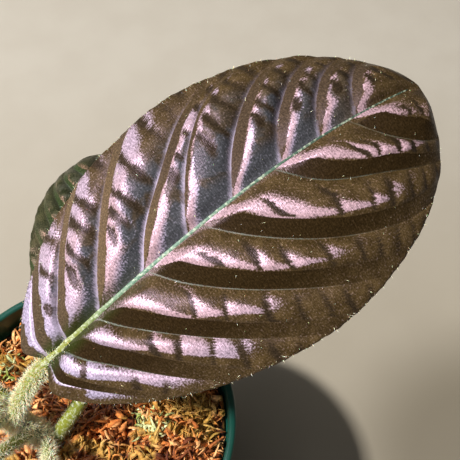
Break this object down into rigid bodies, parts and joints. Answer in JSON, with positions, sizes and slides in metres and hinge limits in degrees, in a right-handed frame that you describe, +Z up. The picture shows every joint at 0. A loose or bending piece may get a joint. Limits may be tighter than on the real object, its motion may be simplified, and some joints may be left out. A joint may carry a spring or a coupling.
{
  "type": "potted ardisia",
  "caption": "Young potted plant with broad, quilted, metallic purple-brown leaves on woolly stalks, in a plain round nursery pot filled with long-fibre moss.",
  "frame": {"origin": "on the pot's axis, at the level of the flat underside that the pot rests on", "axes": "+Z up along the pot's axis, against the base mount's normal; +X to the right and +Y away from the viewer of the picture"},
  "size_m": [0.2076, 0.179, 0.1505],
  "materials": {
    "pot_plastic": "satin",
    "long_fibre_moss": "matte",
    "woolly_stem": "matte",
    "leaf_blade": "satin",
    "young_growth": "matte",
    "bud_wool": "matte"
  },
  "bodies": {
    "root": {"pot": "pot_plastic", "potting_moss": "long_fibre_moss", "stem": "woolly_stem", "leaf_1": "leaf_blade", "leaf_2": "leaf_blade", "leaf_3": "leaf_blade", "leaf_4": "leaf_blade", "leaf_5": "leaf_blade", "young_leaf": "young_growth", "bud": "bud_wool"}
  },
  "joints": []
}
